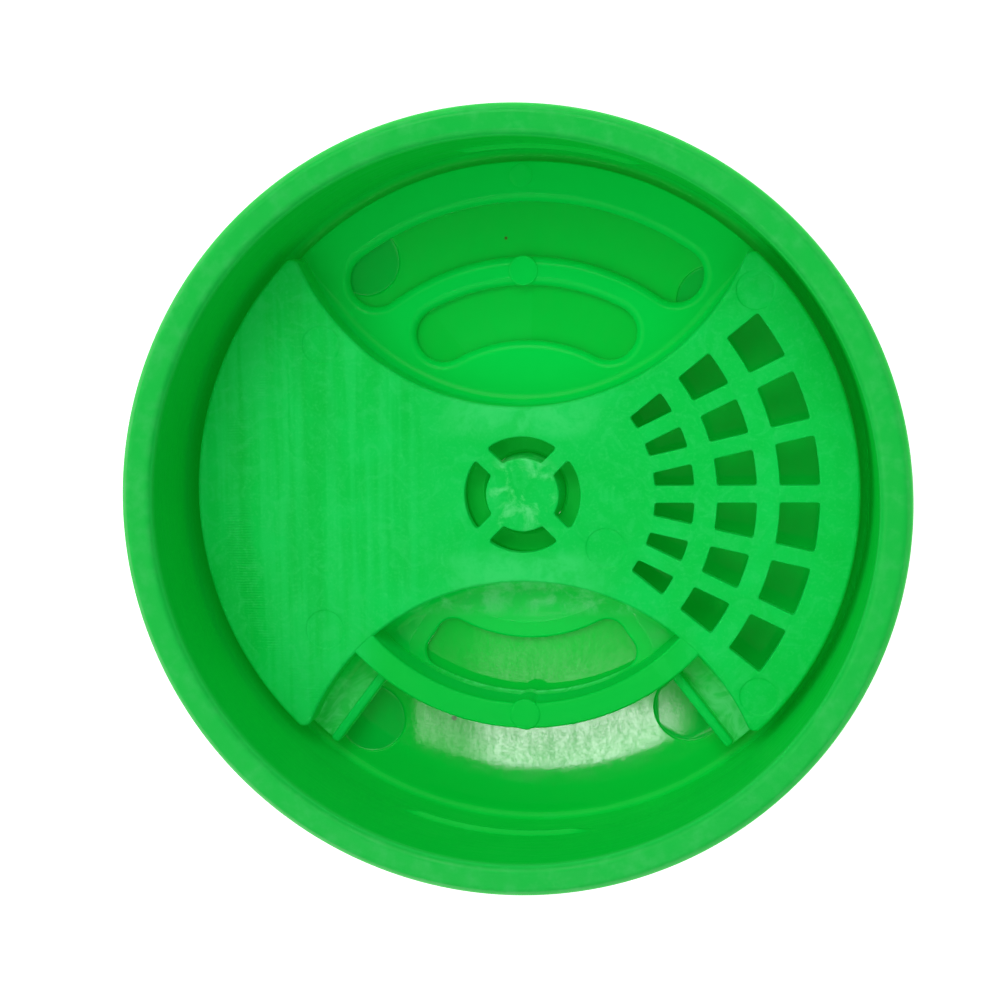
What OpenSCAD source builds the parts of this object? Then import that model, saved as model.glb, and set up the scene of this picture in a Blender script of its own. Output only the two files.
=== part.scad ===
// Screw-type lid of a wasp trap: a threaded cap with a four-position selector disc
// inside it, turned by a dial on the outside. Millimetres. The lid lies on its outer
// face, open side up: z = 0 is the face it rests on, and the Z axis is the lid's axis.
// The cap's window lies on the -X side, and the disc stands at "closed".

/* [Cap] */
// Diameter over the lip, the widest part of the cap
cap_d = 98; // [94:1:104]
// Inner diameter of the wall that takes the container's neck
neck_d = 89.6; // [88:0.2:89.8]
// Diameter over the skirt, without its grip ribs
skirt_d = 94; // [93:0.5:95]
// Height from the resting face to the widest ring of the lip
lip_z = 29; // [27:0.5:34]
// Depth of the cap floor below the widest ring of the lip
floor_depth = 21; // [21:0.5:23]
// Thickness of the cap floor
floor_t = 2; // [1.6:0.1:2.4]
// Radius of the lip's rounded edges
lip_edge_r = 1.2; // [0.8:0.1:1.4]
// Number of grip ribs round the skirt
grip_count = 60; // [36:4:72]

/* [Window in the cap floor] */
// Inner radius of the window
window_r_in = 17.5; // [17:0.5:20]
// Outer radius of the window
window_r_out = 39; // [36:0.5:40]
// Half of the angle that the window spans
window_half = 33; // [24:1:35]

/* [Selector disc] */
// Diameter of the disc
disc_d = 86; // [85:0.5:86.4]
// Thickness of the disc's plates
disc_t = 1.4; // [1.2:0.1:1.6]
// Height from the low plates to the top of the raised deck
deck_rise = 5.5; // [5:0.1:5.8]
// Distance from the axis to the centre of each lens-shaped cut in the deck
lens_offset = 42.65; // [42.55:0.05:43]
// Radius of each lens-shaped cut
lens_r = 31.3; // [31:0.1:31.4]
// Inner edge of the inner kidney slot
slot_r1 = 19.7; // [19:0.1:20]
// Inner face of the curved rib
rib_r1 = 26.85; // [26.5:0.05:27]
// Outer face of the curved rib
rib_r2 = 30.6; // [30.2:0.1:31]
// Outer edge of the outer kidney slot
slot_r2 = 37.65; // [37:0.05:38]
// Angle of the radial legs from the centre of the open quarter
leg_angle = 37.4; // [36:0.1:38]

/* [Grille] */
// Inner radius of the first ring of holes
grille_r = 17.1; // [16.5:0.1:18]
// Radial size of a hole
grille_hole = 5; // [4.5:0.1:5.2]
// Distance between one ring of holes and the next
grille_step = 7.92; // [7.8:0.02:8]
// Angle between neighbouring rows
grille_pitch = 12.95; // [12.5:0.05:13]
// Width of the radial bars
grille_bar = 2.2; // [1.8:0.1:2.6]

/* [Hub] */
// Radius of the pivot post
post_r = 5.1; // [4.9:0.05:5.3]
// Radius of the pad on top of the post
pad_r = 4.75; // [4.6:0.05:4.85]
// Outer radius of the four arc slots round the post
hub_slot_r = 7.5; // [7.3:0.1:7.7]
// Width of the four bridges between the arc slots
bridge_w = 2.2; // [1.8:0.1:2.6]

/* [Dial] */
// Diameter of the dial
dial_d = 31; // [26:0.5:32]
// Height of the finger bar over the dial's plate
bar_h = 3.2; // [2.5:0.1:3.4]

/* [Hidden] */
$fn = 96;
cut = 1;                // how far a cutting shape reaches past the surface it cuts
root = 0.5;             // how far a raised feature is sunk into what it stands on
arc_steps = 24;         // segments of a long arc in an outline
gap = 0.2;              // axial clearance between disc, floor and dial
run_fit = 0.08;         // radial clearance of the post in its bearing

cap_r = cap_d / 2;
neck_r = neck_d / 2;
skirt_r = skirt_d / 2;
cap_h = lip_z + lip_edge_r;
floor_z = lip_z - floor_depth;
under_z = floor_z - floor_t;
recess_r = neck_r - 0.8;
lip_in_r = neck_r + 0.4;
skirt_chamfer = 1;
rib_r = 0.9;            // radius of a grip rib
rib_top_z = lip_z - 4;
thread_z = lip_z - 14;  // height of the retaining ridges on the inner wall
thread_h = 0.6;
thread_w = 2;
thread_flat = 0.6;      // width of a ridge's crest
thread_half = 15.5;
thread_turn = 84.5;     // angle to the middle of the first ridge
step_z = thread_z + 1.5; // the neck's wall starts here, above the retaining ridges
low_wall_r = neck_r - 0.1;
low_wall_draft = 0.3;   // how far the low wall draws in on its way down to the floor
skirt_edge = lip_edge_r / 2; // how far the lip's underside draws in at its edge
boss_r = 7.9;
boss_z = floor_z + 2.9;
bore_chamfer = 0.4;
mark_r = 4.6;           // round ejector marks on the cap floor
mark_at = [[-21.8, -30.9], [-21.2, 30.3], [24.2, 24.4], [20.8, -29]];
mark_depth = 0.2;

window_corner = 3;
pip_at = dial_d / 2 + 1.1;
pip_r = 0.5;
pip_h = 0.5;

disc_r = disc_d / 2;
low_z = floor_z + gap;
low_top_z = low_z + disc_t;
deck_z = low_top_z + deck_rise;
wall_t = 1.4;
tip_flat = 0.01;        // half the flat at the tip of a kidney slot
outer_slot_half = 41.2;
inner_slot_half = 36.8;
open_slot_half = 34;
open_slot_corner = 2.2;
bead_t = 1.3;
bead_h = 2;
collar_r1 = boss_r + 0.4;
collar_r2 = collar_r1 + wall_t;
field_r = disc_r - 0.15; // the low plates end just inside the deck's rim
rib_half = 48.5;         // half the angle of the curved rib, which ends inside the deck
rib_drop = 0.1;         // the curved rib's top lies this much below the deck's
bead_gap = 0.05;        // from the leg's edge to its bead

prong_gap = 1.8;
prong_len = 7;
post_end_z = under_z - 4.1;
barb_r = post_r + 0.7;
barb_z = under_z - 2.9;
barb_lip = 0.4;
barb_half = 28;
dial_top_z = under_z - gap;
dial_plate_t = 2.4;
dial_r = dial_d / 2;
dial_bore_r = post_r - 0.02; // pressed onto the post
dial_hub_r = 8.2;
dial_room = 0.3;        // between the barbs and the dial's bore
bar_inset = 0.6;        // from the dial's edge to the end of the finger bar
bar_w = 6;
bar_tail = 12;
bar_z = dial_top_z - dial_plate_t - bar_h;

// Points of an arc about the axis, from angle a1 to angle a2
function arc(r, a1, a2, n = 12) = [for (i = [0 : n]) let (a = a1 + (a2 - a1) * i / n) [r * cos(a), r * sin(a)]];

// Points of an arc about the point c
function arc_at(c, r, a1, a2, n = 8) = [for (p = arc(r, a1, a2, n)) p + c];

// Part of a flat ring, centred on +X
module ring_part(r1, r2, half) {
    polygon(concat(arc(r2, -half, half, arc_steps), arc(r1, half, -half, arc_steps)));
}

// A curved slot, centred on +X, whose corners have radius c; half is the angle to its tips
module curved_slot(r1, r2, half, c) {
    in = half - asin(c / (r1 + c));
    out = half - asin(c / (r2 - c));
    function corner(r, a, from, to) = arc_at(r * [cos(a), sin(a)], c, a + from, a + to);
    polygon(concat(
        arc(r2, -out, out, arc_steps),
        corner(r2 - c, out, 0, 90),
        corner(r1 + c, in, 90, 180),
        arc(r1, in, -in, arc_steps),
        corner(r1 + c, -in, 180, 270),
        corner(r2 - c, -out, 270, 360)
    ));
}

// ---- cap ----

// The cap's cross-section: skirt, rounded lip, wall, floor, recess and bearing
module cap_profile() {
    bore_r = post_r + run_fit;
    lip_out = cap_r - lip_edge_r;
    lip_in = lip_in_r + lip_edge_r;
    polygon(concat(
        [[recess_r, 0], [skirt_r - skirt_chamfer, 0], [skirt_r, skirt_chamfer]],
        [[skirt_r, lip_z - 2 * lip_edge_r], [cap_r - skirt_edge, lip_z - lip_edge_r]],
        arc_at([lip_out, lip_z], lip_edge_r, 0, 90),
        arc_at([lip_in, lip_z], lip_edge_r, 90, 180),
        [[neck_r, lip_z - lip_edge_r], [neck_r, step_z], [low_wall_r, step_z - 0.3]],
        [[low_wall_r - low_wall_draft, floor_z], [boss_r, floor_z], [boss_r, boss_z]],
        [[bore_r + bore_chamfer, boss_z], [bore_r, boss_z - bore_chamfer]],
        [[bore_r, under_z], [recess_r, under_z]]
    ));
}

module grip_ribs() {
    for (i = [0 : grip_count - 1])
        rotate(i * 360 / grip_count)
            translate([skirt_r, 0, 2 * skirt_chamfer])
                cylinder(r = rib_r, h = rib_top_z - 2 * skirt_chamfer, $fn = 24);
}

module window() {
    translate([0, 0, under_z - cut]) linear_extrude(floor_t + 2 * cut)
        rotate(180) curved_slot(window_r_in, window_r_out, window_half, window_corner);
}

module floor_marks() {
    for (at = mark_at)
        translate([at[0], at[1], floor_z - mark_depth]) cylinder(r = mark_r, h = mark_depth + cut);
}

module retaining_ridges() {
    for (a = [0, 180])
        rotate(a + thread_turn - thread_half)
            rotate_extrude(angle = 2 * thread_half)
                polygon([
                    [low_wall_r + root, thread_z - thread_w / 2],
                    [low_wall_r - thread_h, thread_z - thread_flat / 2],
                    [low_wall_r - thread_h, thread_z + thread_flat / 2],
                    [low_wall_r + root, thread_z + thread_w / 2]
                ]);
}

// Small pips on the outer face, one for each position of the dial's pointer
module index_pips() {
    for (a = [0 : 90 : 270])
        rotate(a) translate([pip_at, 0, under_z - pip_h]) cylinder(r = pip_r, h = pip_h + root, $fn = 24);
}

module cap() {
    color("limegreen") difference() {
        union() {
            rotate_extrude() cap_profile();
            grip_ribs();
            retaining_ridges();
            index_pips();
        }
        window();
        floor_marks();
    }
}

// ---- selector disc ----

// Outline of the raised deck, drawn in by t all round
module deck_outline(t) {
    difference() {
        circle(disc_r - t);
        for (s = [-1, 1])
            translate([0, s * lens_offset]) circle(lens_r + t);
    }
}

// One lens-shaped field of the disc, with a margin that joins it to the deck's wall
module lens_field(s) {
    intersection() {
        circle(field_r);
        translate([0, s * lens_offset]) circle(lens_r + wall_t / 2);
    }
}

// One grille hole between two parallel-sided bars
module grille_hole(r1, r2) {
    in = grille_pitch / 2 - asin(grille_bar / 2 / r1);
    out = grille_pitch / 2 - asin(grille_bar / 2 / r2);
    polygon(concat(arc(r2, -out, out, 4), arc(r1, in, -in, 4)));
}

module grille_holes() {
    for (ring_no = [0 : 2], row = [-2.5 : 1 : 2.5]) {
        r1 = grille_r + ring_no * grille_step;
        rotate(row * grille_pitch) grille_hole(r1, r1 + grille_hole);
    }
}

// Four arc slots round the post, with parallel-sided bridges between them
module hub_slots() {
    in = 45 - asin(bridge_w / 2 / pad_r);
    out = 45 - asin(bridge_w / 2 / hub_slot_r);
    for (a = [0 : 90 : 270])
        rotate(a) polygon(concat(arc(hub_slot_r, -out, out), arc(pad_r, in, -in)));
}

// The raised deck: a plate with walls under its edges, open below
module deck() {
    difference() {
        translate([0, 0, low_z]) linear_extrude(deck_z - low_z) deck_outline(0);
        translate([0, 0, low_z - cut]) linear_extrude(deck_z - disc_t - low_z + cut) deck_outline(wall_t);
        translate([0, 0, low_z]) linear_extrude(deck_z) grille_holes();
        translate([0, 0, low_z]) linear_extrude(deck_z) hub_slots();
    }
}

// A ring under the deck that runs round the cap's bearing
module collar() {
    translate([0, 0, low_z]) difference() {
        cylinder(r = collar_r2, h = deck_z - disc_t / 2 - low_z);
        translate([0, 0, -cut]) cylinder(r = collar_r1, h = deck_z);
    }
}

// Upper field: a low plate with two kidney slots
module slotted_field() {
    translate([0, 0, low_z]) linear_extrude(disc_t) difference() {
        lens_field(1);
        rotate(90) curved_slot(rib_r2, slot_r2, outer_slot_half, (slot_r2 - rib_r2) / 2 - tip_flat);
        rotate(90) curved_slot(slot_r1, rib_r1, inner_slot_half, (rib_r1 - slot_r1) / 2 - tip_flat);
    }
}

// Lower field: a low plate with one slot, cut away between its two legs
module open_field() {
    translate([0, 0, low_z]) linear_extrude(disc_t) difference() {
        lens_field(-1);
        rotate(-90) curved_slot(slot_r1, rib_r1, open_slot_half, open_slot_corner);
        rotate(-90) ring_part(rib_r2 - root / 2, disc_r + cut, leg_angle);
    }
}

// The high curved rib between the open field's legs
module curved_rib() {
    translate([0, 0, low_z]) linear_extrude(deck_z - rib_drop - low_z)
        rotate(-90) ring_part(rib_r1, rib_r2, rib_half);
}

// Upstanding beads along the inner edges of the legs
module leg_beads() {
    for (s = [-1, 1])
        rotate(-90 + s * leg_angle)
            translate([rib_r2 - root, s > 0 ? bead_gap : -bead_gap - bead_t, low_z + root])
                cube([field_r - rib_r2, bead_t, disc_t + bead_h - root]);
}

module post() {
    difference() {
        rotate_extrude()
            polygon([[0, post_end_z], [post_r, post_end_z], [post_r, boss_z], [pad_r, deck_z], [0, deck_z]]);
        for (a = [45, 135])
            rotate(a) translate([-2 * post_r, -prong_gap / 2, post_end_z - cut])
                cube([4 * post_r, prong_gap, prong_len + cut]);
    }
}

// Snap barbs at the post's end, one under each arc slot
module barbs() {
    for (a = [0 : 90 : 270])
        rotate(a - barb_half)
            rotate_extrude(angle = 2 * barb_half)
                polygon([
                    [post_r - root, post_end_z + barb_lip],
                    [barb_r, barb_z - barb_lip],
                    [barb_r, barb_z],
                    [post_r - root, barb_z]
                ]);
}

module selector_disc() {
    color("springgreen") union() {
        deck();
        collar();
        slotted_field();
        open_field();
        curved_rib();
        leg_beads();
        post();
        barbs();
    }
}

// ---- dial ----

// The finger bar: long towards the pointer side, short on the other
module finger_bar() {
    intersection() {
        translate([-dial_r, -bar_w / 2, bar_z]) cube([dial_r + bar_tail, bar_w, bar_h + root]);
        translate([0, 0, bar_z - cut]) cylinder(r = dial_r - bar_inset, h = bar_h + 3 * cut);
    }
}

module dial() {
    color("mediumseagreen") difference() {
        union() {
            translate([0, 0, dial_top_z - dial_plate_t]) cylinder(r = dial_r, h = dial_plate_t);
            finger_bar();
            translate([0, 0, bar_z]) cylinder(r = dial_hub_r, h = bar_h + root);
        }
        translate([0, 0, bar_z - cut]) cylinder(r = dial_bore_r, h = dial_top_z - bar_z + 2 * cut);
        translate([0, 0, bar_z - cut]) cylinder(r = barb_r + dial_room, h = barb_z - bar_z + cut);
    }
}

cap();
selector_disc();
dial();
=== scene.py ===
"""Looks for the wasp trap lid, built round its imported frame.

Shapes are made in millimetres, as in part.scad, and scaled to metres at the end.
"""

import math

import bmesh
import bpy
import numpy as np
from mathutils import Matrix, Vector
from mathutils.geometry import delaunay_2d_cdt


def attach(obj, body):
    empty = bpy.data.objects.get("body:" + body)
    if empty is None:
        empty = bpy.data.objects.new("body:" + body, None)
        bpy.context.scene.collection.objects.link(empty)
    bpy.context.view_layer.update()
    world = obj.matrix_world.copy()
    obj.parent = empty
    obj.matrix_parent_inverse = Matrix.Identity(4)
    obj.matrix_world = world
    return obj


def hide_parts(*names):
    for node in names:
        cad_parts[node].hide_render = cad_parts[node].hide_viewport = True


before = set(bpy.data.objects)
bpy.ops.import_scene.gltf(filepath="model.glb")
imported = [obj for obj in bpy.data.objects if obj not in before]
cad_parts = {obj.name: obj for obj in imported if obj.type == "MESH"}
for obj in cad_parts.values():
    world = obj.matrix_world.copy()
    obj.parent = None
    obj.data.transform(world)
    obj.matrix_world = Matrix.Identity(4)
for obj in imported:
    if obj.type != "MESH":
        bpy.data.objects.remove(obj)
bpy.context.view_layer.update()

MM = 0.001

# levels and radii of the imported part, in millimetres
CAP_R = 49.0
CAP_H = 30.2
LIP_Z = 29.0
LIP_R = 1.2
NECK_R = 44.8
LOW_WALL_R = 44.7
FLOOR_WALL_R = 44.4
SKIRT_R = 47.0
RECESS_R = 44.0
FLOOR_Z = 8.0
UNDER_Z = 6.0
BOSS_R = 7.9
BOSS_Z = 10.9
BORE_R = 5.18
RIDGE_Z = 15.0
DISC_R = 43.0
LOW_Z = 8.2
PLATE_Z = 9.6
DECK_Z = 15.1
DISC_T = 1.4
FIELD_R = 42.85
LENS_AT = 42.65
LENS_R = 31.3
POST_R = 5.1
PAD_R = 4.75
BRIDGE = 2.2  # width of the grille's bars and of the hub's bridges
LEG_AT = 37.4  # degrees from the middle of the notch to a leg's bead
LAP = 0.7  # how far the low plates reach under the deck's wall


# ---- flat outlines: closed loops of points, counter-clockwise ----


def arc(centre, r, a1, a2, n):
    """n + 1 points of an arc about centre, from a1 to a2 degrees."""
    a = np.radians(np.linspace(a1, a2, n + 1))
    return np.c_[centre[0] + r * np.cos(a), centre[1] + r * np.sin(a)]


def joined(*parts):
    """The parts as one closed loop, without repeated points."""
    p = np.vstack(parts)
    keep = np.linalg.norm(p - np.roll(p, 1, 0), axis=1) > 1e-4
    return p[keep]


def circle(centre, r, n=48):
    return arc(centre, r, 0, 360, n)[:-1]


def turned(p, degrees):
    a = math.radians(degrees)
    return p @ np.array([[math.cos(a), math.sin(a)], [-math.sin(a), math.cos(a)]])


def offset(p, d):
    """The loop moved outwards by d, a number or one for each point."""
    back = p - np.roll(p, 1, 0)
    ahead = np.roll(back, -1, 0)
    n1 = np.c_[back[:, 1], -back[:, 0]] / np.linalg.norm(back, axis=1)[:, None]
    n2 = np.c_[ahead[:, 1], -ahead[:, 0]] / np.linalg.norm(ahead, axis=1)[:, None]
    mitre = (n1 + n2) / (1 + (n1 * n2).sum(1))[:, None]
    return p + np.reshape(d, (-1, 1)) * mitre


def polar(r, degrees):
    return r * math.cos(math.radians(degrees)), r * math.sin(math.radians(degrees))


def ring_slot(r1, r2, half, corner, turn, long_steps=40, corner_steps=6):
    """A curved slot with rounded corners, which covers half degrees on each side of turn."""
    inner = half - math.degrees(math.asin(corner / (r1 + corner)))
    outer = half - math.degrees(math.asin(corner / (r2 - corner)))

    def bend(r, a, start):
        return arc(polar(r, a), corner, a + start, a + start + 90, corner_steps)

    loop = joined(
        arc((0, 0), r2, -outer, outer, long_steps),
        bend(r2 - corner, outer, 0),
        bend(r1 + corner, inner, 90),
        arc((0, 0), r1, inner, -inner, long_steps),
        bend(r1 + corner, -inner, 180),
        bend(r2 - corner, -outer, 270),
    )
    return turned(loop, turn)


def bar_slot(r1, r2, pitch, bar, turn, corner, steps):
    """A hole between two bars of a given width that stand pitch degrees apart."""
    out = pitch / 2 - math.degrees(math.asin(bar / 2 / r2))
    into = pitch / 2 - math.degrees(math.asin(bar / 2 / r1))
    path = [(*p, 0) for p in arc((0, 0), r2, 0, out, steps)[:-1]]
    path.append((*polar(r2, out), corner))
    path.append((*polar(r1, into), corner))
    path += [(*p, 0) for p in arc((0, 0), r1, into, -into, 2 * steps)[1:-1]]
    path.append((*polar(r1, -into), corner))
    path.append((*polar(r2, -out), corner))
    path += [(*p, 0) for p in arc((0, 0), r2, -out, 0, steps)[1:]]
    return turned(np.array(rounded(path, 3)[:-1]), turn)


def crossing(r1, at, r2):
    """The right-hand point where a circle round the axis meets one round (0, at)."""
    y = (r1**2 + at**2 - r2**2) / (2 * at)
    return math.sqrt(r1**2 - y**2), y


def deck_outline(inset, corner):
    """The outline of the raised deck: two wings, with a lens-shaped cut above and below."""
    r, lens = DISC_R - inset, LENS_R + inset
    x, y = crossing(r - corner, LENS_AT, lens + corner)
    out = math.degrees(math.atan2(y, x))
    into = math.degrees(math.atan2(y - LENS_AT, x))
    half = [
        arc((0, 0), r, -out, out, 96),
        arc((x, y), corner, out, into + 180, 8),
        arc((0, LENS_AT), lens, into, -180 - into, 96),
        arc((-x, y), corner, -into, 180 - out, 8),
    ]
    return joined(*half, *[turned(p, 180) for p in half])


def lens_outline(side, outer_r, lens):
    """The outline of a lens-shaped field, on the +Y side or the -Y side."""
    x, y = crossing(outer_r, LENS_AT, lens)
    out = math.degrees(math.atan2(y, x))
    into = math.degrees(math.atan2(y - LENS_AT, x))
    outer = arc((0, 0), outer_r, out, 180 - out, 64)
    loop = joined(outer, arc((0, LENS_AT), lens, -180 - into, into, 64))
    return loop if side > 0 else turned(loop, 180)


# ---- meshes made of rings ----


class Shell:
    """A closed surface, made of rings of points that strips and flat faces join."""

    def __init__(self):
        self.points, self.faces = [], []

    def ring(self, flat, z):
        start = len(self.points)
        z = np.broadcast_to(z, len(flat))
        self.points += [(x, y, h) for (x, y), h in zip(flat, z)]
        return list(range(start, len(self.points)))

    def strip(self, a, b):
        """Joins two rings: point to point if they have as many, and otherwise by angle."""
        if len(a) == len(b):
            for i in range(len(a)):
                j = (i + 1) % len(a)
                self.faces.append((a[i], a[j], b[j], b[i]))
            return
        angles = []
        for loop in (a, b):
            t = [math.atan2(self.points[i][1], self.points[i][0]) for i in loop]
            first = min(range(len(t)), key=lambda k: t[k])
            loop[:] = loop[first:] + loop[:first]
            angles.append(sorted(t))
        i = j = 0
        while i < len(a) or j < len(b):
            next_a = angles[0][i + 1] if i + 1 < len(a) else angles[0][0] + 2 * math.pi
            next_b = angles[1][j + 1] if j + 1 < len(b) else angles[1][0] + 2 * math.pi
            if i < len(a) and (j >= len(b) or next_a <= next_b):
                self.faces.append((a[i], a[(i + 1) % len(a)], b[j % len(b)]))
                i += 1
            else:
                self.faces.append((a[i % len(a)], b[(j + 1) % len(b)], b[j]))
                j += 1

    def rise(self, loop, steps):
        """Rings that follow the loop, one for each (offset, height), joined in turn.

        Returns the first and the last.
        """
        rings = [self.ring(offset(loop, d), z) for d, z in steps]
        for a, b in zip(rings, rings[1:]):
            self.strip(a, b)
        return rings[0], rings[-1]

    def fill(self, *rings):
        """A flat face inside the first ring and outside the others."""
        ids = [i for ring in rings for i in ring]
        flat = np.array([self.points[i][:2] for i in ids])
        edges, base = [], 0
        for ring in rings:
            n = len(ring)
            edges += [(base + k, base + (k + 1) % n) for k in range(n)]
            base += n
        corners = [Vector(p) for p in flat]
        points, _, faces, origins, _, _ = delaunay_2d_cdt(corners, edges, [], 0, 1e-6)
        crossings = [tuple(round(c, 2) for c in p) for p, o in zip(points, origins) if not o]
        assert not crossings, f"outlines cross at {crossings[:4]}"
        back = [o[0] for o in origins]
        tri = np.array([[back[i] for i in f] for f in faces])
        mid = flat[tri].mean(1)
        a, b = flat[[e[0] for e in edges]], flat[[e[1] for e in edges]]
        crosses = (a[None, :, 1] > mid[:, None, 1]) != (b[None, :, 1] > mid[:, None, 1])
        climb = np.where(b[:, 1] == a[:, 1], 1, b[:, 1] - a[:, 1])
        at = a[:, 0] + (mid[:, 1, None] - a[:, 1]) * (b[:, 0] - a[:, 0]) / climb
        inside = ((crosses & (mid[:, 0, None] < at)).sum(1) % 2) == 1
        self.faces += [tuple(ids[i] for i in t) for t in tri[inside]]

    def object(self, name):
        mesh = bpy.data.meshes.new(name)
        mesh.from_pydata(self.points, [], self.faces)
        bm = bmesh.new()
        bm.from_mesh(mesh)
        bmesh.ops.remove_doubles(bm, verts=bm.verts, dist=1e-5)
        bmesh.ops.recalc_face_normals(bm, faces=bm.faces)
        assert all(len(e.link_faces) == 2 for e in bm.edges), f"{name} is not closed"
        bm.to_mesh(mesh)
        bm.free()
        ob = bpy.data.objects.new(name, mesh)
        bpy.context.scene.collection.objects.link(ob)
        return ob


def rounded(path, steps=5):
    """Points of a path of (x, y, radius) corners, each rounded to its radius."""
    out = []
    for k, (x, y, r) in enumerate(path):
        p = np.array([x, y])
        if r == 0 or k in (0, len(path) - 1):
            out.append(p)
            continue
        to_a = np.array(path[k - 1][:2]) - p
        to_b = np.array(path[k + 1][:2]) - p
        to_a, to_b = to_a / np.linalg.norm(to_a), to_b / np.linalg.norm(to_b)
        half = math.acos(np.clip(to_a @ to_b, -1, 1)) / 2
        reach = r / math.tan(half)
        middle = (to_a + to_b) / np.linalg.norm(to_a + to_b)
        centre = p + middle * r / math.sin(half)
        start, end = p + to_a * reach - centre, p + to_b * reach - centre
        a1, a2 = math.atan2(start[1], start[0]), math.atan2(end[1], end[0])
        turn = (a2 - a1 + math.pi) % (2 * math.pi) - math.pi
        for i in range(steps + 1):
            a = a1 + turn * i / steps
            out.append(centre + r * np.array([math.cos(a), math.sin(a)]))
    return out


def lowered(z, *steps):
    """Steps of (offset, depth) below the height z, as (offset, height)."""
    return [(d, z - depth) for d, depth in steps]


def fillet(r, z, wide=None, down=-1, steps=5):
    """Steps of (offset, height) that round an edge of radius r from the flat at height z."""
    wide = wide or r
    out = []
    for i in range(steps + 1):
        a = math.radians(90 * i / steps)
        out.append((-wide * (1 - math.sin(a)), z + down * r * (1 - math.cos(a))))
    return out


def hole(steps):
    """The same steps for a hole, whose edge is rounded away from the hole."""
    return [(-d, z) for d, z in steps]


def even(n):
    return np.linspace(0, 2 * math.pi, n, endpoint=False)


def spin(shell, path, angles, bump=None):
    """Rings round the axis along a path of (radius, height).

    bump(angles, height) is added to the radius. Returns the first and the last ring.
    """
    rings = []
    for r, z in path:
        radius = r + (bump(angles, z) if bump else 0)
        flat = np.c_[radius * np.cos(angles), radius * np.sin(angles)]
        rings.append(shell.ring(flat, z))
    for a, b in zip(rings, rings[1:]):
        shell.strip(a, b)
    return rings[0], rings[-1]


def sweep(shell, centre, angles, section):
    """A closed bar bent round centre. section(degrees) gives its points of (distance, height)."""
    rings = []
    for a in angles:
        ring = []
        for r, z in section(a):
            x, y = polar(r, a)
            shell.points.append((centre[0] + x, centre[1] + y, z))
            ring.append(len(shell.points) - 1)
        rings.append(ring)
    for a, b in zip(rings, rings[1:]):
        shell.strip(a, b)
    shell.faces += [tuple(rings[0]), tuple(rings[-1])]
    return shell


def block(loop, steps, name="block"):
    """A closed solid over a flat outline, with a ring for each (offset, height)."""
    shell = Shell()
    for ring in shell.rise(loop, steps):
        shell.fill(ring)
    return shell.object(name)


def dot(shell, centre, r, n, steps):
    """A round mark or pip, which is filled at its last step. Returns its first ring."""
    rim, end = shell.rise(circle(centre, r, n), steps)
    shell.fill(end)
    return rim


def lathe(path, name="lathe", n=96, solid=True):
    """A piece turned about the axis: flat at both ends of its path if solid, and a ring if not."""
    shell = Shell()
    first, last = spin(shell, path, even(n))
    if solid:
        shell.fill(first)
        shell.fill(last)
    else:
        shell.strip(last, first)
    return shell.object(name)


def smooth(x):
    x = np.clip(x, 0, 1)
    return x * x * (3 - 2 * x)


def combine(ob, other, operation):
    """Applies a boolean with the other object, which is then removed."""
    mod = ob.modifiers.new("combine", "BOOLEAN")
    mod.operation, mod.solver, mod.object = operation, "MANIFOLD", other
    graph = bpy.context.evaluated_depsgraph_get()
    mesh = bpy.data.meshes.new_from_object(ob.evaluated_get(graph))
    ob.modifiers.remove(mod)
    old, ob.data = ob.data, mesh
    mesh.materials.clear()
    bpy.data.meshes.remove(old)
    bpy.data.objects.remove(other)
    return ob


def drop_slivers(bm):
    """Removes the faces without area that booleans leave."""
    bmesh.ops.remove_doubles(bm, verts=bm.verts, dist=1e-3)
    bmesh.ops.dissolve_degenerate(bm, edges=bm.edges, dist=1e-3)
    bmesh.ops.triangulate(bm, faces=[f for f in bm.faces if len(f.verts) > 4])


def keep_flat(bm, level):
    """Makes the edges round the flat at a height sharp, so that it mirrors without a bend."""
    for face in bm.faces:
        if all(abs(v.co.z - level) < 1e-4 for v in face.verts):
            for edge in face.edges:
                if any(abs(v.co.z - level) > 1e-4 for f in edge.link_faces for v in f.verts):
                    edge.smooth = False


def edit_mesh(mesh, change, *values):
    bm = bmesh.new()
    bm.from_mesh(mesh)
    change(bm, *values)
    bm.to_mesh(mesh)
    bm.free()


def finish_mesh(ob, mirror=None):
    """Scales a piece to metres and shades it: flats stay flat and rounded edges stay round."""
    mesh = ob.data
    mesh.name = ob.name
    edit_mesh(mesh, drop_slivers)
    mesh.shade_smooth()
    mesh.set_sharp_from_angle(angle=math.radians(35))
    if mirror is not None:
        edit_mesh(mesh, keep_flat, mirror)
    mesh.transform(Matrix.Scale(MM, 4))
    normals = ob.modifiers.new("normals", "WEIGHTED_NORMAL")
    normals.mode, normals.weight, normals.keep_sharp = "FACE_AREA", 50, True
    return ob


# ---- cap ----

# ejector marks on the inner face of the floor, and pips on its outer face
MARK_R = 4.6
FLOOR_MARKS = ((-21.8, -30.9), (-21.2, 30.3), (24.2, 24.4), (20.8, -29.0))
PIPS_AT = 16.6
PIP_R = 0.5
# the round grip ribs on the skirt
GRIP_R = 0.9
GRIP_COUNT = 60
# the two retaining ridges: height, and their middle and half length in degrees
RIDGE_H = 0.6
RIDGE_TURN = 84.5
RIDGE_HALF = 15.5
WINDOW = ring_slot(17.5, 39, 33, 3, 180, long_steps=48)


def ridge(angles, z):
    """How far the retaining ridges stand in from the wall."""
    across = smooth((0.85 - abs(z - RIDGE_Z)) / 0.5)
    if across == 0:
        return 0 * angles
    a = (np.degrees(angles) - RIDGE_TURN + 90) % 180 - 90
    return -RIDGE_H * across * smooth((RIDGE_HALF + 0.8 - abs(a)) / 3.5)


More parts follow.
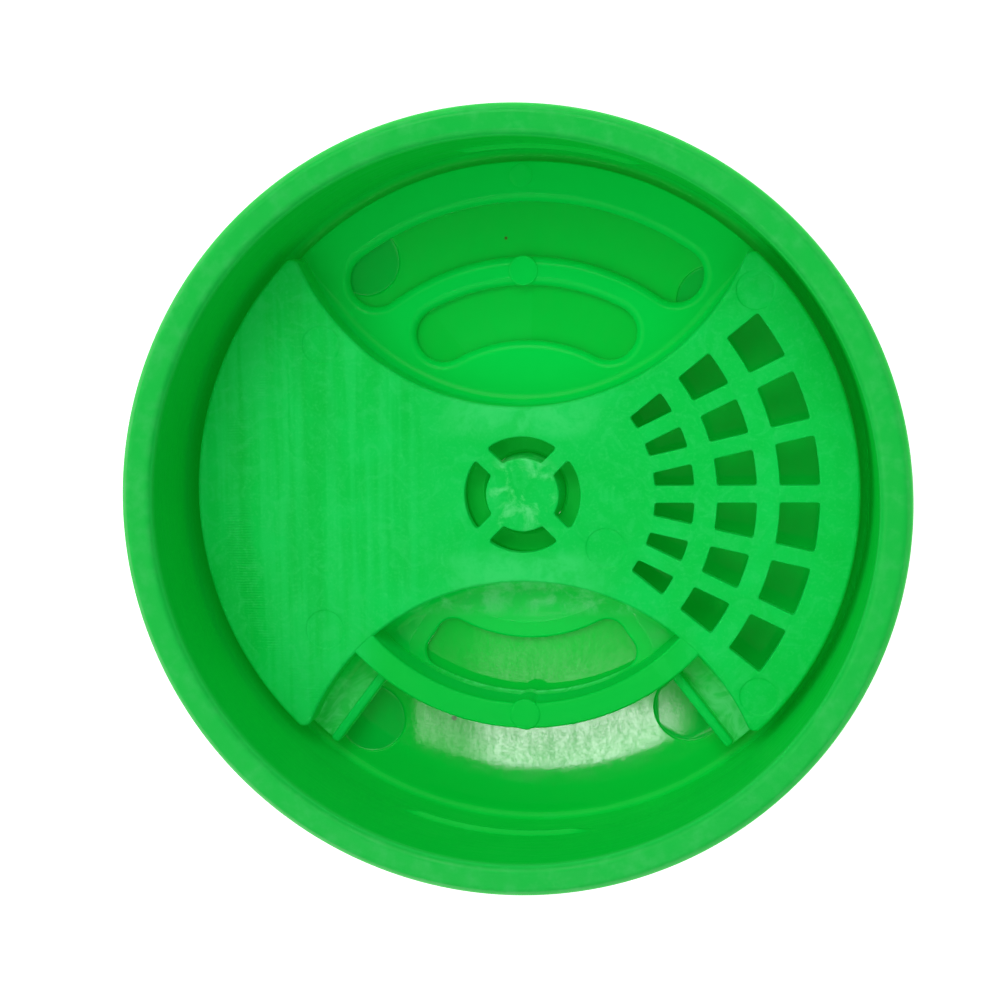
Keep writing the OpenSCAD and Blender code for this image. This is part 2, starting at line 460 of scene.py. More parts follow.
def grip_ribs(angles, z):
    """How far the grip ribs stand out from the skirt."""
    along = smooth((z - 1.9) / 0.5) * smooth((25.2 - z) / 0.7)
    half = math.pi / GRIP_COUNT
    t = SKIRT_R * ((angles + half) % (2 * half) - half)
    return along * np.sqrt(np.clip(GRIP_R**2 - t**2, 0, None))


def make_cap():
    shell = Shell()
    n = 360
    under_lip = LIP_Z - 2 * LIP_R
    # from the floor up the wall, over the lip and down the lip's outside
    levels = [13.9, 14.15, 14.3, 14.45, 14.6, 14.8, 15.0, 15.2, 15.4, 15.55, 15.7, 15.85]
    wall = rounded([(43, FLOOR_Z, 0), (FLOOR_WALL_R, FLOOR_Z, 0.9), (LOW_WALL_R, 13.5, 0)])
    wall = wall[1:] + [(LOW_WALL_R, z) for z in levels]
    wall += [(LOW_WALL_R, 15.95), (NECK_R, 19.5)]
    lip = rounded(
        [
            (NECK_R, 24, 0),
            (NECK_R, CAP_H, 0.95),
            (CAP_R - LIP_R, CAP_H, 0.9),
            (CAP_R, LIP_Z, 1.1),
            (CAP_R - 0.6, LIP_Z - LIP_R, 0.5),
            (SKIRT_R + 0.5, under_lip + 0.2, 0),
        ]
    )
    floor_outer, top = spin(shell, wall + lip, even(n), ridge)
    # the skirt has more points where its grip ribs are
    half = (0.25, 0.5, 0.75, 0.95, 1.1, 1.25, 1.8, 2.6)
    across = np.radians([-a for a in reversed(half)] + [0, *half])
    pitch = math.radians(360 / GRIP_COUNT)
    grip = np.sort(np.concatenate([across + k * pitch for k in range(GRIP_COUNT)]) % (2 * math.pi))
    skirt = [(SKIRT_R + 0.3, under_lip), (SKIRT_R + 0.05, under_lip - 0.15)]
    skirt += [(SKIRT_R, under_lip - 0.5)]
    skirt += [(SKIRT_R, z) for z in (25.2, 25.05, 24.85, 24.6, 24.4, 2.5, 2.35, 2.15, 1.95)]
    skirt += rounded([(SKIRT_R, 1.9, 0), (SKIRT_R, 0, 0.9), (46, 0, 0)])[1:-1]
    skirt_top, skirt_foot = spin(shell, skirt, grip, grip_ribs)
    shell.strip(top, skirt_top)
    recess = [(45.5, 0, 0), (RECESS_R, 0, 0.4), (RECESS_R, UNDER_Z, 0.8), (42, UNDER_Z, 0)]
    foot, under_outer = spin(shell, rounded(recess)[1:-1], even(n))
    shell.strip(skirt_foot, foot)
    # the bearing in the middle
    boss = rounded(
        [
            (10, FLOOR_Z, 0),
            (BOSS_R, FLOOR_Z, 0.4),
            (BOSS_R, BOSS_Z, 0.3),
            (BORE_R + 0.4, BOSS_Z, 0),
            (BORE_R, BOSS_Z - 0.4, 0.15),
            (BORE_R, UNDER_Z, 0.2),
            (8, UNDER_Z, 0),
        ],
        3,
    )[1:-1]
    floor_inner, under_inner = spin(shell, boss, even(96))
    # the window, the ejector marks and the pips outside
    edge = [(-1, FLOOR_Z, 0), (0, FLOOR_Z, 0.35), (0, UNDER_Z, 0.2), (-1, UNDER_Z, 0)]
    window_top, window_foot = shell.rise(WINDOW, hole(rounded(edge, 4)[1:-1]))
    sunk = lowered(FLOOR_Z, (0.1, 0), (0.03, 0.02), (-0.03, 0.1), (-0.12, 0.17), (-0.3, 0.2))
    marks = [dot(shell, centre, MARK_R, 64, sunk) for centre in FLOOR_MARKS]
    proud = lowered(UNDER_Z, (0.08, 0), (0.02, 0.05), (0, 0.25), (-0.1, 0.42), (-0.25, 0.5))
    pips = [dot(shell, polar(PIPS_AT, 90 * k), PIP_R, 24, proud) for k in range(4)]
    shell.fill(floor_outer, floor_inner, window_top, *marks)
    shell.fill(under_outer, under_inner, window_foot, *pips)
    return finish_mesh(shell.object("cap_moulding"), mirror=FLOOR_Z)


# ---- selector disc ----

UNDER_DECK = DECK_Z - DISC_T
# ejector marks: x, y and radius
DECK_MARKS = (
    (30.0, 25.8, 2.5),
    (30.1, -26.1, 2.45),
    (-26.4, -17.7, 2.6),
    (-26.0, 19.6, 2.5),
    (10.7, -6.9, 2.6),
)
GRILLE_R = 17.1  # inner radius of the first ring of holes
GRILLE_STEP = 7.92  # from one ring of holes to the next
GRILLE_HOLE = 5.0  # length of a hole along its radius
GRILLE_PITCH = 12.95  # degrees from one bar to the next
RIB_HALF = 48.5  # degrees that the curved rib covers on each side
SLOT_IN, SLOT_OUT = 19.7, 26.85
OUTER_SLOT = ring_slot(30.6, 37.65, 41.2, 3.5, 90, 64, 10)
INNER_SLOT = ring_slot(SLOT_IN, SLOT_OUT, 36.8, 3.55, 90, 56, 10)
OPEN_SLOT = ring_slot(SLOT_IN, SLOT_OUT, 34, 2.4, -90, 56, 10)


def make_deck():
    """The raised deck with its walls, open below."""
    shell = Shell()
    outside = deck_outline(0, 1.1)
    top, foot = shell.rise(outside, fillet(0.5, DECK_Z) + [(0, LOW_Z + 0.15), (-0.12, LOW_Z)])
    inside = deck_outline(1.4, 0.5)
    steps = [(0.12, LOW_Z), (0, LOW_Z + 0.15)]
    steps += lowered(UNDER_DECK, (0, 0.25), (-0.08, 0.08), (-0.25, 0))
    inner_foot, inner_top = shell.rise(inside, steps)
    shell.fill(foot, inner_foot)
    tops, bottoms = [], []
    for ring in range(3):
        r = GRILLE_R + GRILLE_STEP * ring
        for row in range(6):
            turn = (row - 2.5) * GRILLE_PITCH
            loop = bar_slot(r, r + GRILLE_HOLE, GRILLE_PITCH, BRIDGE, turn, 0.3, 2)
            a, b = shell.rise(loop, hole(fillet(0.16, DECK_Z, steps=3)) + [(0, UNDER_DECK)])
            tops.append(a)
            bottoms.append(b)
    for k in range(4):
        loop = bar_slot(PAD_R, 7.5, 90, BRIDGE, 90 * k, 0.35, 9)
        a, b = shell.rise(loop, hole(fillet(0.22, DECK_Z, steps=3)) + [(0, UNDER_DECK)])
        tops.append(a)
        bottoms.append(b)
    sunk = lowered(DECK_Z, (0.06, 0), (0.02, 0.015), (-0.02, 0.06), (-0.07, 0.1), (-0.2, 0.12))
    for x, y, r in DECK_MARKS:
        tops.append(dot(shell, (x, y), r, 56, sunk))
    shell.fill(top, *tops)
    shell.fill(inner_top, *bottoms)
    return shell.object("disc_moulding")


def plate(loop, slots):
    """A low plate. slots holds pairs of an outline and its steps from the top to the underside."""
    shell = Shell()
    edge = fillet(0.22, PLATE_Z, steps=3) + [(0, LOW_Z + 0.1), (-0.08, LOW_Z)]
    top, foot = shell.rise(loop, edge)
    tops, feet = [], []
    for outline, steps in slots:
        a, b = shell.rise(outline, steps)
        tops.append(a)
        feet.append(b)
    shell.fill(top, *tops)
    shell.fill(foot, *feet)
    return shell.object("plate")


def wall_foot(side):
    """The hollow fillet where a low plate meets the deck's wall."""
    x, y = crossing(FIELD_R, LENS_AT, LENS_R)
    end = math.degrees(math.atan2(y - LENS_AT, x))
    start, stop = -180 - end + 1, end - 1

    def section(a):
        near = min(a - start, stop - a)
        wide = 0.1 + 1.5 * smooth(near / 16)
        high = 0.1 + 1.3 * smooth(near / 16)
        out = [(LENS_R + 0.5, PLATE_Z - 0.3), (LENS_R + 0.5, PLATE_Z + high)]
        for i in range(11):
            t = math.radians(3 + 84 * i / 10)
            out.append((LENS_R - wide + wide * math.cos(t), PLATE_Z + high - high * math.sin(t)))
        return out + [(out[-1][0], PLATE_Z - 0.3)]

    angles = np.linspace(start, stop, 90)
    shell = sweep(Shell(), (0, LENS_AT), angles, section)
    if side < 0:
        shell.points = [(-x, -y, z) for x, y, z in shell.points]
    return shell.object("wall_foot")


def on_side(loop, side):
    """The loop, or its mirror image on the -X side."""
    return loop if side > 0 else (loop * (-1, 1))[::-1]


def leg(side):
    """A leg of the open field, as an outline between the notch and the deck's wall."""
    x, y = crossing(42.7, LENS_AT, LENS_R + LAP)
    end = math.degrees(math.atan2(x, y))
    path = [(*polar(29.6, LEG_AT), 0), (*polar(FIELD_R, LEG_AT), 0.9)]
    path += [(*polar(FIELD_R, a), 0) for a in np.linspace(39.5, end, 5)]
    for r in (39, 36, 33, 29.6):
        cosine = (r**2 + LENS_AT**2 - (LENS_R + LAP) ** 2) / (2 * r * LENS_AT)
        path.append((*polar(r, math.degrees(math.acos(cosine))), 0))
    return on_side(turned(np.array(rounded(path, 4)), -90), side)


def bead(side):
    """The outline of the raised bead along a leg, beside the notch."""
    loop = [(30.0, 0.08, 0), (42.5, 0.08, 0.5), (42.5, 1.35, 0.5), (30.0, 1.35, 0)]
    return on_side(turned(np.array(rounded(loop, 4)), -90 + LEG_AT), side)


def rib_section(_):
    """The curved rib between the legs, which leans in a little on both sides."""
    inner, outer, top = 26.92, 30.9, DECK_Z - 0.1
    path = [(outer, LOW_Z, 0), (30.62, top, 0.4), (27.28, top, 0.4), (inner, LOW_Z, 0)]
    foot = [(inner, LOW_Z + 0.02), (outer, LOW_Z + 0.02)]
    return foot + [tuple(p) for p in rounded(path, 5)[1:-1]]


def barb_section(_):
    return [(4.4, 2.1), (5.3, 2.25), (5.8, 2.75), (5.8, 3.05), (5.7, 3.1), (4.4, 3.1)]


def make_post():
    """The pivot post, split into four prongs that end in barbs."""
    end = 1.9
    path = [(3.0, end, 0), (4.0, end, 0.3), (POST_R, end + 1.2, 0.4), (POST_R, BOSS_Z, 0.5)]
    post = lathe(rounded(path + [(4.7, 14.1, 0)], 4), "post")
    for k in range(4):
        angles = np.linspace(90 * k - 28, 90 * k + 28, 17)
        barb = sweep(Shell(), (0, 0), angles, barb_section)
        combine(post, barb.object("barb"), "UNION")
    for turn in (45, 135):
        slit = turned(np.array([(-9.0, -0.9), (9.0, -0.9), (9.0, 0.9), (-9.0, 0.9)]), turn)
        combine(post, block(slit, [(0, 0), (0, 8.7), (-0.3, 8.9)]), "DIFFERENCE")
    return post


def boss(centre, r, edge, top, foot, n=40, steps=4):
    """A round boss, whose foot is buried in its plate."""
    return block(circle(centre, r, n), fillet(edge, top, steps=steps) + [(0, foot)], "boss")


def make_disc():
    deck = make_deck()
    parts = []
    foot = [(0, LOW_Z + 0.1), (0.06, LOW_Z)]
    slot_edge = hole(fillet(1.1, PLATE_Z, 1.25, steps=8)) + foot
    slots = [(OUTER_SLOT, slot_edge), (INNER_SLOT, slot_edge)]
    parts.append(plate(lens_outline(1, FIELD_R, LENS_R + LAP), slots))
    # the open field's slot has a shallow dish round it
    dished = [(2.3, PLATE_Z), (2.2, PLATE_Z - 0.01), (2.0, PLATE_Z - 0.06), (0.55, PLATE_Z - 0.42)]
    dished += [(d, z - 0.42) for d, z in hole(fillet(0.5, PLATE_Z))[1:]] + foot
    parts.append(plate(lens_outline(-1, 29.9, LENS_R + LAP), [(OPEN_SLOT, dished)]))
    for side in (1, -1):
        parts.append(wall_foot(side))
        parts.append(block(leg(side), fillet(0.25, PLATE_Z, steps=3) + [(0, LOW_Z)], "leg"))
        steps = fillet(0.4, PLATE_Z + 2, steps=4) + [(0, LOW_Z + 0.4)]
        parts.append(block(bead(side), steps, "bead"))
    along = np.linspace(-90 - RIB_HALF, -90 + RIB_HALF, 90)
    parts.append(sweep(Shell(), (0, 0), along, rib_section).object("rib"))
    parts.append(boss((-0.1, -28.75), 2.05, 0.3, DECK_Z + 0.06, LOW_Z + 0.05))
    parts.append(boss((-0.1, 28.75), 1.95, 0.2, PLATE_Z + 0.12, LOW_Z + 0.05))
    parts.append(boss((-0.2, 41.0), 1.5, 0.05, PLATE_Z + 0.05, LOW_Z + 0.3, n=32, steps=3))
    collar = [(8.3, LOW_Z + 0.1), (8.4, LOW_Z), (9.6, LOW_Z), (9.7, LOW_Z + 0.1)]
    parts.append(lathe(collar + [(9.7, 14.2), (8.3, 14.2)], "collar", solid=False))
    parts.append(make_post())
    for part in parts:
        combine(deck, part, "UNION")
    return finish_mesh(deck)


# ---- dial ----


def make_dial():
    top, under, low = 5.8, 3.4, 0.2
    plate_path = [(4.0, top, 0), (15.5, top, 0.5), (15.5, under, 0.7), (4.0, under, 0)]
    dial = lathe(rounded(plate_path), "dial_moulding", 144)
    hub = [(4.0, under + 0.5, 0), (8.2, under + 0.5, 0), (8.2, low, 0.5), (4.0, low, 0)]
    combine(dial, lathe(rounded(hub), "hub"), "UNION")
    # the grip bar's outline starts and ends in the middle of a long side
    middle = (0.0, -3.0, 0)
    corners = [(12.0, -3.0, 2.6), (12.0, 3.0, 2.6), (-14.6, 3.0, 1.5), (-14.6, -3.0, 1.5)]
    bar = np.array(rounded([middle, *corners, middle], 6)[:-1])
    steps = [(0, under + 0.5), (0, low + 0.45)] + fillet(0.45, low, down=1)[::-1][1:]
    combine(dial, block(bar, steps, "bar"), "UNION")
    # the post's bore, with room below it for the barbs
    steps = [(0, top + 1), (0, low - 1)]
    combine(dial, block(circle((0, 0), POST_R - 0.02, 96), steps, "bore"), "DIFFERENCE")
    steps = [(0, 3.1), (0, low + 0.2), (0.25, low - 0.05), (0.25, low - 1)]
    combine(dial, block(circle((0, 0), 6.1, 96), steps, "room"), "DIFFERENCE")
    return finish_mesh(dial)


# ---- looks ----


class Nodes:
    """Adds shader nodes to a tree. Inputs are numbers, colours or the sockets of other nodes."""

    def __init__(self, tree):
        self.tree = tree

    def add(self, kind, inputs, **settings):
        made = self.tree.nodes.new("ShaderNode" + kind)
        for key, value in settings.items():
            setattr(made, key, value)
        for key, value in inputs.items():
            self.set(made.inputs[key], value)
        return made

    def set(self, socket, value):
        if isinstance(value, bpy.types.NodeSocket):
            self.tree.links.new(value, socket)
        else:
            socket.default_value = value

    def math(self, operation, *values):
        return self.add("Math", dict(enumerate(values)), operation=operation).outputs[0]

    def times(self, value, *factors):
        for factor in factors:
            value = self.math("MULTIPLY", value, factor)
        return value

    def between(self, value, low, high, out_low=0.0, out_high=1.0):
        """Runs smoothly from out_low to out_high while value runs from low to high."""
        inputs = {"Value": value, "From Min": low, "From Max": high}
        inputs |= {"To Min": out_low, "To Max": out_high}
        return self.add("MapRange", inputs, interpolation_type="SMOOTHSTEP").outputs[0]

    def blend(self, factor, a, b):
        """Runs from colour a to colour b as factor runs from 0 to 1."""
        return self.add("Mix", {0: factor, 6: a, 7: b}, data_type="RGBA").outputs[2]

    def mix(self, factor, a, b):
        """The same for numbers."""
        return self.add("Mix", {0: factor, 2: a, 3: b}).outputs[0]

    def noise(self, place, scale, detail=2.0, stretch=None, distortion=0.0, rough=0.5):
        if stretch:
            place = self.add("Mapping", {"Vector": place, "Scale": stretch}).outputs[0]
        inputs = {"Vector": place, "Scale": scale, "Detail": detail}
        inputs |= {"Distortion": distortion, "Roughness": rough}
        return self.add("TexNoise", inputs).outputs["Fac"]

    def waves(self, place, scale, distortion, detail, detail_scale, axis):
        inputs = {"Vector": place, "Scale": scale, "Distortion": distortion}
        inputs |= {"Detail": detail, "Detail Scale": detail_scale}
        return self.add("TexWave", inputs, bands_direction=axis).outputs["Fac"]


# colours of the cap and the dial
GREEN = (0.001, 0.54, 0.045, 1)
GREEN_CLOUD = (0.003, 0.56, 0.05, 1)
LIP_GREEN = (0.004, 0.455, 0.05, 1)
LIP_SPECKLE = (0.05, 0.52, 0.12, 1)
# painted highlight along the lip's inner rounded edge
LIP_CREST_HIGHLIGHT = (0.025, 0.6, 0.1, 1)
# painted shade on the cap's floor
PAINTED_FLOOR_SHADE = (0.0, 0.47, 0.035, 1)
# painted shade inside the sunk ejector marks
PAINTED_MARK_SHADE = (0.0, 0.4, 0.04, 1)
DIRT = (0.06, 0.07, 0.01, 1)
DIAL_CLOUD = (0.02, 0.58, 0.08, 1)
# painted highlight along convex edges
EDGE_HIGHLIGHT = (0.012, 0.58, 0.085, 1)
# a painted glow, by emission
PAINTED_GLOW = (0, 1, 0.06, 1)

# colours of the disc
DISC_GREEN = (0.0, 0.51, 0.06, 1)
DISC_CLOUD = (0.002, 0.55, 0.08, 1)
PALE_STREAK = (0.012, 0.585, 0.11, 1)
DARK_STREAK = (0.0, 0.43, 0.04, 1)
# painted sheen on the deck
DECK_SHEEN = (0.03, 0.6, 0.14, 1)
GRAIN = (0.04, 0.6, 0.14, 1)
# painted light on the sunk plates
PAINTED_PLATE_LIGHT = (0.0, 0.57, 0.06, 1)
# painted reflection on the legs
LEG_REFLECTION = (0.09, 0.7, 0.22, 1)
# painted highlights on the hub's pad and over the open slot
PAD_AND_SLOT_HIGHLIGHT = (0.09, 0.65, 0.2, 1)
WAIST_GREEN = (0.04, 0.63, 0.15, 1)
RIB_GREEN = (0.0, 0.49, 0.045, 1)

# dirt on the cap's floor: x, y and radius
SPECKS = ((-10.6, -30.8, 0.5), (-2.5, 33.0, 0.3))


def flat_place(n, axes):
    """The place on the piece, seen along the axis."""
    return n.add("CombineXYZ", {0: axes[0], 1: axes[1], 2: 0.0}).outputs[0]


def moulded(name):
    """A new material and its nodes, with the place on the piece in millimetres.

    The place is given whole, split into x, y and z, and as its distance from the axis.
    """
    mat = bpy.data.materials.new(name)
    mat.use_nodes = True
    n = Nodes(mat.node_tree)
    place = n.add("TexCoord", {}).outputs["Object"]
    place = n.add("VectorMath", {0: place, 3: 1 / MM}, operation="SCALE").outputs[0]
    axes = n.add("SeparateXYZ", {0: place}).outputs
    radius = n.add("VectorMath", {0: flat_place(n, axes)}, operation="LENGTH").outputs["Value"]
    return mat, n, place, axes, radius


def finish_material(mat, n, colour, rough, specular, height, depth):
    shader = mat.node_tree.nodes["Principled BSDF"]
    # convex edges are painted paler: a painted highlight along rounded edges
    edge_highlight = n.between(n.add("NewGeometry", {}).outputs["Pointiness"], 0.505, 0.56, 0.0, 0.2)
    n.set(shader.inputs["Base Color"], n.blend(edge_highlight, colour, EDGE_HIGHLIGHT))
    n.set(shader.inputs["Roughness"], rough)
    n.set(shader.inputs["Specular IOR Level"], specular)
    # the plastic lets a little light through; a faint painted glow of green emission stands in for
    # it and lightens its hollows
    shader.inputs["Emission Color"].default_value = PAINTED_GLOW
    shader.inputs["Emission Strength"].default_value = 0.068
    bump = n.add("Bump", {"Height": height, "Distance": depth * MM, "Strength": 1.0})
    n.set(shader.inputs["Normal"], bump.outputs[0])
    return mat


def cap_plastic():
    mat, n, place, axes, radius = moulded("cap_plastic")
    inside = n.between(radius, 44.0, 43.0)
    floor = n.times(inside, n.between(axes[2], FLOOR_Z + 0.3, FLOOR_Z + 0.03))
    floor = n.times(floor, n.between(axes[2], FLOOR_Z - 1.0, FLOOR_Z - 0.5))
    cloud = n.noise(place, 0.09, 3.0)
    grain = n.noise(place, 2.2, 2.0)
    rings = n.noise(place, 0.16, 3.0, stretch=(1, 1, 9))
    colour = n.blend(n.between(cloud, 0.35, 0.7), GREEN, GREEN_CLOUD)
    # the lip is paler and softly mottled; the floor is clean, and painted a deeper green as
    # painted shade at the bottom of the cap
    lip = n.between(axes[2], 29.4, 29.9)
    speckle = n.between(n.noise(place, 0.45, 4.0, rough=0.6), 0.4, 0.8, 0.0, 0.45)
    colour = n.blend(lip, colour, LIP_GREEN)
    colour = n.blend(n.times(lip, speckle), colour, LIP_SPECKLE)
    # a painted highlight on the lip's inner rounded edge
    crest_highlight = n.times(n.between(axes[2], 28.2, 29.3), n.between(axes[2], 29.95, 29.5))
    colour = n.blend(n.times(crest_highlight, n.between(radius, 47.5, 46.5)), colour, LIP_CREST_HIGHLIGHT)
    colour = n.blend(n.times(floor, 0.8), colour, PAINTED_FLOOR_SHADE)
    # the sunk ejector marks on the floor are darkened: painted shade in their recess
    sunk = n.between(axes[2], FLOOR_Z - 0.12, FLOOR_Z - 0.18)
    colour = n.blend(n.times(floor, sunk), colour, PAINTED_MARK_SHADE)
    for x, y, size in SPECKS:
        ends = {0: flat_place(n, axes), 1: (x, y, 0)}
        away = n.add("VectorMath", ends, operation="DISTANCE").outputs["Value"]
        colour = n.blend(n.times(floor, n.between(away, size, size * 0.4)), colour, DIRT)
    satin = n.between(rings, 0.3, 0.7, n.between(axes[2], 27.0, 29.0, 0.38, 0.3), 0.48)
    gloss = n.between(n.noise(place, 0.5, 3.0, distortion=1.5), 0.35, 0.7, 0.02, 0.04)
    rough = n.mix(floor, satin, gloss)
    # the floor's flow lines and fine grain break up what it mirrors
    flow = n.noise(place, 0.5, 5.0, stretch=(2.0, 0.6, 1), distortion=0.4, rough=0.7)
    fine = n.between(n.noise(place, 3.2, 3.0, rough=0.7), 0.35, 0.65, 0.7, 1.2)
    flow = n.times(n.between(flow, 0.36, 0.6, 0.16, 0.26), fine)
    specular = n.mix(floor, n.between(axes[2], 27.5, 29.2, 0.06, 0.15), flow)
    height = n.math("ADD", n.times(grain, 0.6), n.times(rings, 1.2))
    height = n.times(height, n.between(floor, 0.0, 1.0, 1.0, 0.02))
    return finish_material(mat, n, colour, rough, specular, height, 0.03)


def disc_plastic():
    mat, n, place, axes, radius = moulded("disc_plastic")
    x, y, z = axes[0], axes[1], axes[2]
    deck = n.between(z, 13.2, 14.6)
    wing = n.times(deck, n.between(x, -9.0, -17.0))
    # upright flow streaks on the closed wing, with a fine ripple near its rim
    streaks = n.noise(place, 0.75, 3.0, stretch=(1, 0.04, 1))
    broad = n.noise(place, 0.16, 2.0, stretch=(1, 0.12, 1))
    ripple = n.waves(place, 0.9, 3.0, 2.0, 0.3, "Y")
    band = n.times(n.between(radius, 35.5, 37.0), n.between(radius, 40.5, 38.5))
    band = n.times(band, n.between(n.noise(place, 0.12, 2.0), 0.4, 0.6))
    ripple = n.times(band, wing, ripple)
    cloud = n.noise(place, 0.11, 4.0, distortion=0.6)
    swirl = n.noise(place, 0.3, 4.0, distortion=2.5)
    grain = n.noise(place, 2.6, 3.0)
    colour = n.blend(n.between(cloud, 0.35, 0.7), DISC_GREEN, DISC_CLOUD)
    mark = n.times(wing, n.between(streaks, 0.38, 0.62))
    colour = n.blend(n.times(mark, 0.55), colour, PALE_STREAK)
    dark = n.times(wing, n.between(broad, 0.56, 0.4, 0.0, 0.6))
    colour = n.blend(dark, colour, DARK_STREAK)
    # whitish swirls on the deck are painted sheen, for the speckled reflections of its rough face
    deck_sheen = n.times(deck, n.between(swirl, 0.46, 0.7, 0.0, 0.25))
    colour = n.blend(deck_sheen, colour, DECK_SHEEN)
    speck = n.times(deck, n.between(grain, 0.5, 0.72, 0.0, 0.2))
    colour = n.blend(speck, colour, GRAIN)
    # the sunk plates are glossier and wavy, and painted paler than the deck: painted light that
    # lifts them out of the walls' shade
    low = n.between(z, 10.6, 9.8)
    colour = n.blend(low, colour, PAINTED_PLATE_LIGHT)
    # painted reflections and highlights: whitish swirls on the legs beside the notch, on the hub's
    # pad and over the open slot
    legs = n.times(low, n.between(y, -22.0, -28.0))
    legs = n.times(legs, n.between(swirl, 0.35, 0.65, 0.3, 1.0))
    colour = n.blend(legs, colour, LEG_REFLECTION)
    # the whitish patches on the hub's pad and over the open slot are painted highlights
    patch = n.noise(place, 0.32, 5.0, distortion=0.3, rough=0.65)
    pad = n.times(n.between(radius, 6.2, 4.5), n.between(patch, 0.48, 0.7))
    over_slot = n.times(low, n.between(y, -9.0, -11.0), n.between(y, -17.0, -15.0))
    over_slot = n.times(over_slot, n.between(patch, 0.42, 0.68))
    colour = n.blend(n.math("MAXIMUM", pad, over_slot), colour, PAD_AND_SLOT_HIGHLIGHT)
    # the waist above and below the hub is paler, and the curved rib is deeper
    aside, along = n.math("ABSOLUTE", x), n.math("ABSOLUTE", y)
    waist = n.times(n.between(aside, 14.0, 4.0), n.between(along, 6.5, 9.0))
    waist = n.times(waist, deck, n.between(along, 17.0, 15.0))
    waist = n.times(waist, n.between(patch, 0.35, 0.62, 0.2, 0.8))
    colour = n.blend(waist, colour, WAIST_GREEN)
    rib = n.times(deck, n.between(y, -17.0, -19.5), n.between(aside, 24.0, 17.0))
    colour = n.blend(rib, colour, RIB_GREEN)
    rings = n.noise(place, 0.35, 3.0, stretch=(0.35, 2.2, 1), distortion=0.8)
    upper = n.between(y, -6.0, 6.0)
    sheen = n.mix(upper, n.between(swirl, 0.3, 0.7, 0.1, 0.22), 0.22)
    rough = n.mix(low, n.between(cloud, 0.3, 0.7, 0.38, 0.52), sheen)
    specular = n.mix(low, 0.07, n.between(upper, 0.0, 1.0, 0.1, 0.065))
    height = n.math("ADD", n.times(grain, 0.5), n.times(streaks, wing, 2.2))
    height = n.math("ADD", height, n.times(ripple, 1.5))
    height = n.math("ADD", height, n.times(rings, low))
    return finish_material(mat, n, colour, rough, specular, height, 0.02)


def dial_plastic():
    mat, n, place, _, _ = moulded("dial_plastic")
    cloud = n.noise(place, 0.2, 3.0)
    grain = n.noise(place, 2.4, 2.0)
    turning = n.noise(place, 0.5, 3.0, distortion=1.0)
    colour = n.blend(n.between(cloud, 0.35, 0.7), GREEN, DIAL_CLOUD)
    rough = n.between(turning, 0.3, 0.7, 0.34, 0.48)
    height = n.math("ADD", n.times(grain, 0.6), turning)
    return finish_material(mat, n, colour, rough, 0.22, height, 0.03)


def wear_slot(ob, body, node, material):
    ob.data.materials.append(material)
    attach(ob, body)
    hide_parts(node)


wear_slot(make_cap(), "lid_cap", "cap", cap_plastic())
wear_slot(make_disc(), "selector", "selector_disc", disc_plastic())
wear_slot(make_dial(), "selector", "dial", dial_plastic())

# ---- floor, light and camera ----


def look_at(ob, place, target, top=(0, 1, 0)):
    """Places an object that looks along -Z, with the direction top upwards in its view."""
    forward = (Vector(target) - Vector(place)).normalized()
    right = forward.cross(Vector(top)).normalized()
    up = right.cross(forward)
    ob.matrix_world = Matrix(
        [
            (right.x, up.x, -forward.x, place[0]),
            (right.y, up.y, -forward.y, place[1]),
            (right.z, up.z, -forward.z, place[2]),
            (0, 0, 0, 1),
        ]
    )


scene = bpy.context.scene
camera = bpy.data.objects.new("camera", bpy.data.cameras.new("camera"))
scene.collection.objects.link(camera)
camera.data.sensor_width = 36
camera.data.lens = 75.43
camera.data.clip_start = 0.01
# the photo's viewpoint: nearly overhead, a little to the right, and rolled by one degree
camera_at, camera_target = (0.03421, 0.02774, 0.2813), (-0.00096, 0.00084, 0.029)
look_at(camera, camera_at, camera_target, top=(0.01745, 0.99985, 0))
scene.camera = camera
scene.view_settings.view_transform = "Standard"

world = bpy.data.worlds.new("studio")
scene.world = world
world.use_nodes = True
sky = Nodes(world.node_tree)
towards = sky.add("TexCoord", {}).outputs["Generated"]
sideways, _, upwards = sky.add("SeparateXYZ", {0: towards}).outputs
back = world.node_tree.nodes["Background"]
back.inputs["Color"].default_value = (1, 1, 1, 1)
# a white room, brightest high up, with a dark spot straight overhead and a dimmer right side
level = sky.between(upwards, 0.35, 0.7, 0.4, 1.34)
level = sky.times(level, sky.between(upwards, 0.9, 0.97, 1.0, 0.12))
level = sky.times(level, sky.between(sideways, 0.0, 0.6, 1.0, 0.4))
seen = sky.add("LightPath", {}).outputs["Is Camera Ray"]
sky.set(back.inputs["Strength"], sky.math("MAXIMUM", level, seen))


def stage_mesh(name, shell, material):
    mesh = bpy.data.meshes.new(name)
    mesh.from_pydata(shell.points, [], shell.faces)
    mesh.transform(Matrix.Scale(MM, 4))
    mesh.materials.append(material)
    ob = bpy.data.objects.new(name, mesh)
    scene.collection.objects.link(ob)
    return ob


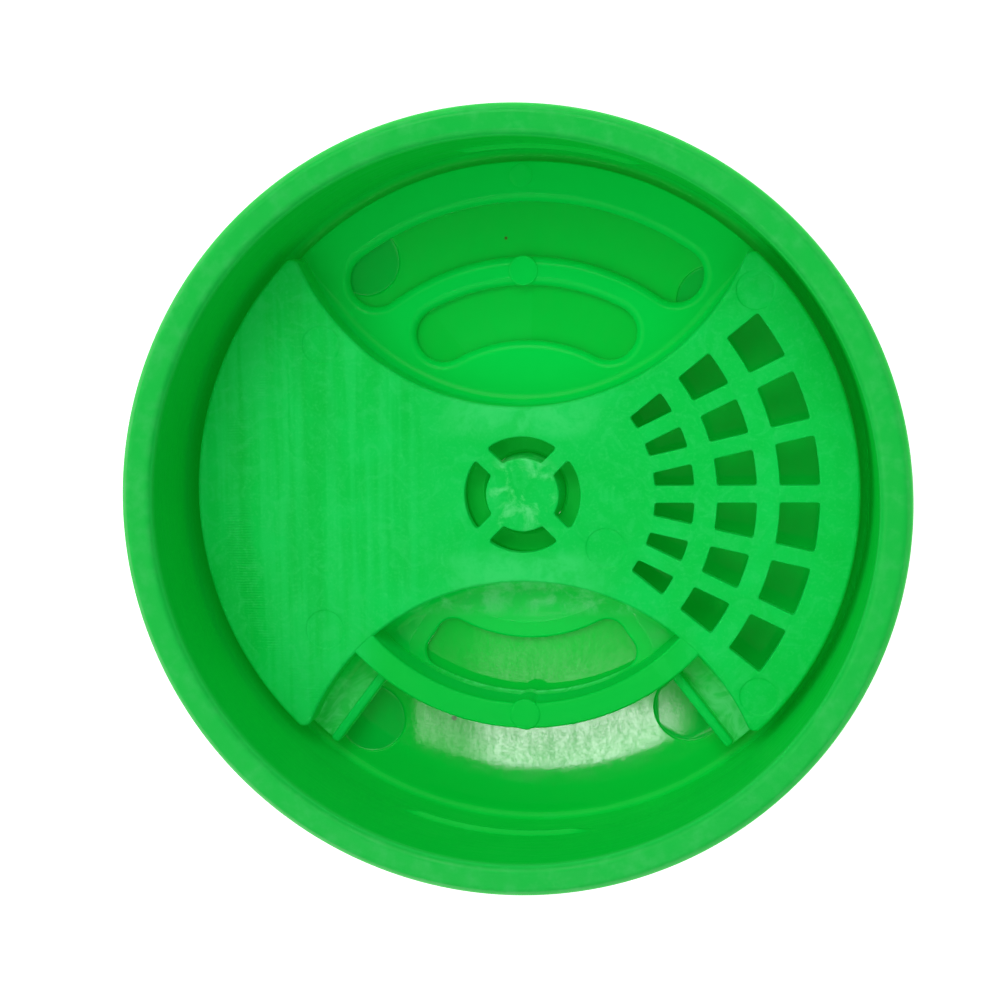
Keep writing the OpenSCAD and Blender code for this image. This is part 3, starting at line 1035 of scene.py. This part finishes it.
def glowing(name, colour, strength):
    mat = bpy.data.materials.new(name)
    mat.use_nodes = True
    shader = mat.node_tree.nodes["Principled BSDF"]
    shader.inputs["Base Color"].default_value = colour
    shader.inputs["Roughness"].default_value = 0.8
    shader.inputs["Emission Color"].default_value = (1, 1, 1, 1)
    shader.inputs["Emission Strength"].default_value = strength
    return mat


ground = Shell()
ground.fill(ground.ring(circle((0, 0), 3000, 64), -0.02))
paint = glowing("floor_paint", (0.9, 0.9, 0.9, 1), 0.7)
n = Nodes(paint.node_tree)
# from below the floor is clear, so that the underside can be looked at
sides = n.add("MixShader", {0: n.add("NewGeometry", {}).outputs["Backfacing"]})
n.set(sides.inputs[1], paint.node_tree.nodes["Principled BSDF"].outputs[0])
n.set(sides.inputs[2], n.add("BsdfTransparent", {}).outputs[0])
n.set(paint.node_tree.nodes["Material Output"].inputs["Surface"], sides.outputs[0])
stage_mesh("floor", ground, paint)


def area_light(name, place, target, size, power):
    lamp = bpy.data.lights.new(name, "AREA")
    lamp.shape, lamp.size, lamp.energy = "DISK", size, power
    ob = bpy.data.objects.new(name, lamp)
    scene.collection.objects.link(ob)
    look_at(ob, place, target)
    return ob


area_light("key", (-0.1, 0.85, 1.05), (0, 0, 0), 0.8, 4.5)

# a curved window light overhead, which the cap's glossy floor mirrors
window_edge = arc((-122, -94), 182, 245, 308, 16)
glow = Shell()
rows = [glow.ring(window_edge + (0, 120 * t), 1008) for t in (0, 1)]
for i in range(len(window_edge) - 1):
    glow.faces.append((rows[0][i], rows[0][i + 1], rows[1][i + 1], rows[1][i]))
softbox_glow = glowing("softbox_glow", (0, 0, 0, 1), 1)
n = Nodes(softbox_glow.node_tree)
spot = n.add("SeparateXYZ", {0: n.add("TexCoord", {}).outputs["Object"]}).outputs
bright = n.between(spot[1], -0.226, -0.243, 0.0, 19.0)
dim = n.between(spot[1], -0.17, -0.232, 0.5, 4.0)
left = n.between(spot[0], -0.17, -0.145, 0.3, 1.0)
right = n.between(spot[0], -0.022, -0.052)
strength = n.times(n.math("ADD", bright, dim), n.times(left, right))
n.set(softbox_glow.node_tree.nodes["Principled BSDF"].inputs["Emission Strength"], strength)
softbox = stage_mesh("softbox", glow, softbox_glow)
softbox.visible_camera = False
